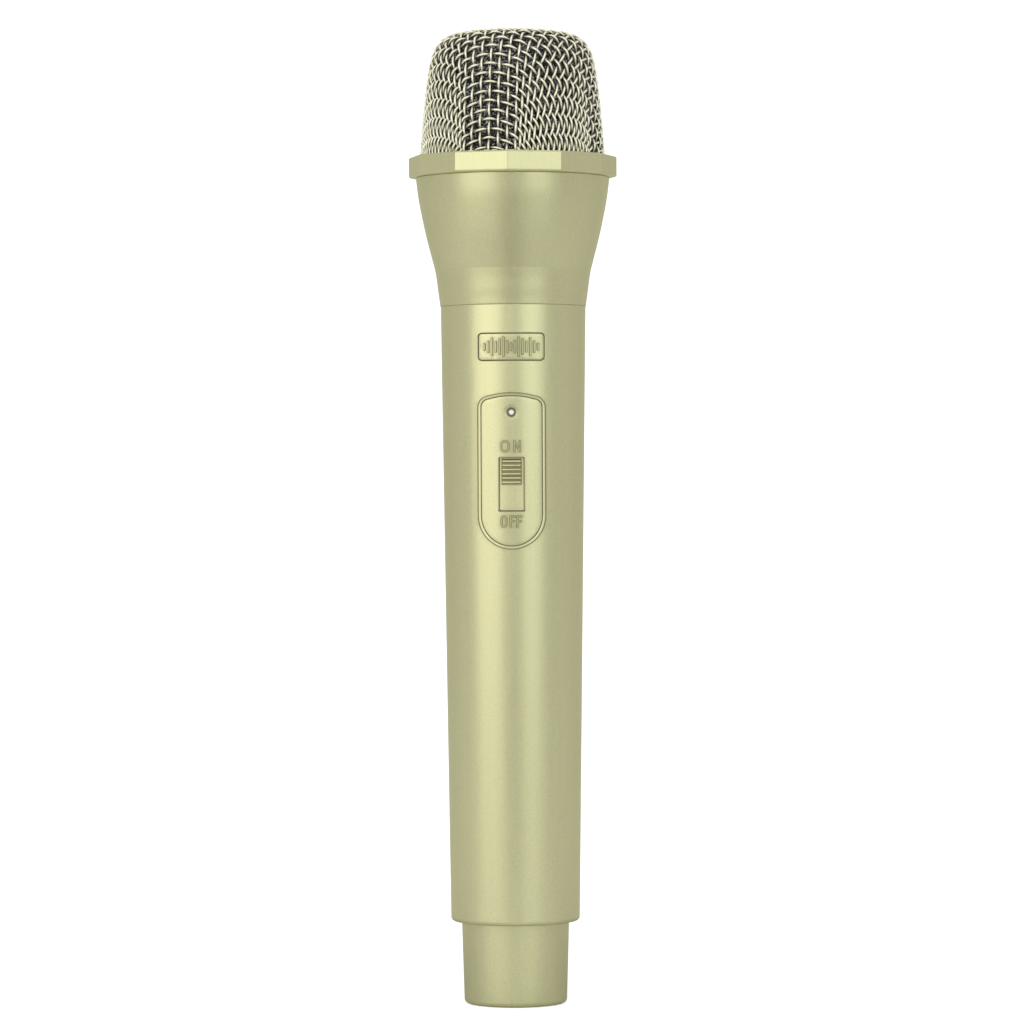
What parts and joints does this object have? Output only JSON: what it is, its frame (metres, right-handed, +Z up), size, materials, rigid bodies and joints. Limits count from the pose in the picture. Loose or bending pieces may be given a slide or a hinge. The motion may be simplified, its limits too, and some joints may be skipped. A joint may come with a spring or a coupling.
{
  "type": "handheld wireless karaoke microphone",
  "caption": "Handheld wireless karaoke microphone with a domed woven grille, faceted anti-roll ring, flared collar, sliding power switch and screw-on tail cap.",
  "frame": {"origin": "centre of the tail cap's flat bottom face, on the handle axis", "axes": "+Z up the handle towards the grille, -Y the side with the switch, +X to the right seen from that side"},
  "size_m": [0.053, 0.053, 0.248],
  "materials": {
    "gold_paint": "satin champagne-gold metallic paint with a fine grain",
    "mesh_wire": "pale gold plated steel wire",
    "foam": "open-cell dark grey foam",
    "turned_alloy": "turned, satin",
    "rubber": "matt black",
    "black_plastic": "fine texture",
    "felt": "pressed felt",
    "film": "thin clear polyester film",
    "brass": "bright brass",
    "copper": "enamelled copper wire",
    "magnet": "ground magnet",
    "steel": "plain steel",
    "grey_plastic": "fine texture",
    "board_green": "solder-masked glass laminate",
    "cell_jacket": "printed jacket, no lettering",
    "can_tin": "tinned sheet",
    "chip_black": "moulded package",
    "cap_sleeve": "shrink sleeve",
    "lead_red": "insulated lead",
    "lead_black": "insulated lead",
    "lens": "clear lens"
  },
  "bodies": {
    "handle": {"body_tube": "gold_paint", "collar": "gold_paint", "switch_plate": "gold_paint", "label_plate": "gold_paint", "neck_ring": "turned_alloy", "shock_mount": "rubber", "capsule_cup": "black_plastic", "capsule_front": "black_plastic", "capsule_felt": "felt", "diaphragm": "film", "diaphragm_ring": "brass", "voice_coil": "copper", "magnet": "magnet", "pole_plate": "steel", "magnet_yoke": "steel", "coil_carrier": "grey_plastic", "capsule_board": "board_green", "capsule_posts": "brass", "chassis": "black_plastic", "chassis_screws": "steel", "board_screws": "steel", "battery_sleeve": "grey_plastic", "battery_lower": "cell_jacket", "battery_upper": "cell_jacket", "battery_contact": "brass", "ground_strip": "can_tin", "main_board": "board_green", "rf_shield": "can_tin", "board_chips": "chip_black", "crystal": "can_tin", "capacitors": "cap_sleeve", "antenna_core": "grey_plastic", "antenna_coil": "copper", "lead_socket": "grey_plastic", "capsule_lead_red": "lead_red", "capsule_lead_black": "lead_black", "switch_frame": "steel", "switch_base": "black_plastic", "switch_terminals": "brass", "lamp_lens": "lens", "lamp_chip": "grey_plastic", "tail_bush": "turned_alloy"},
    "grille_carrier": {"grille_seal": "rubber"},
    "grille_head": {"grille_mesh": "mesh_wire", "grille_foam": "foam", "grille_ring": "gold_paint", "grille_sleeve": "turned_alloy"},
    "slider": {"switch_knob": "gold_paint", "switch_lever": "black_plastic", "switch_contact": "brass"},
    "tail_contact": {"spring_plate": "brass", "tail_spring": "steel"},
    "tail": {"tail_cap": "gold_paint", "tail_seal": "rubber"}
  },
  "joints": [
    {"name": "power_switch", "type": "slide", "parent": "handle", "child": "slider", "axis": [0, 0, -1], "range_m": [0, 0.0061]},
    {"name": "grille_lift", "type": "slide", "parent": "handle", "child": "grille_carrier", "axis": [0, 0, 1], "range_m": [0, 0.0045]},
    {"name": "grille_turn", "type": "hinge", "parent": "grille_carrier", "child": "grille_head", "pos_m": [0, 0, 0.2125], "axis": [0, 0, 1], "range_deg": [0, 1080]},
    {"name": "tail_lift", "type": "slide", "parent": "handle", "child": "tail_contact", "axis": [0, 0, -1], "range_m": [0, 0.006]},
    {"name": "tail_turn", "type": "hinge", "parent": "tail_contact", "child": "tail", "pos_m": [0, 0, 0.0105], "axis": [0, 0, -1], "range_deg": [0, 1080]}
  ],
  "couplings": [
    {"joint": "grille_turn", "follows": "grille_lift", "rad_per_m": 4188.7},
    {"joint": "tail_turn", "follows": "tail_lift", "rad_per_m": 3141.5}
  ]
}
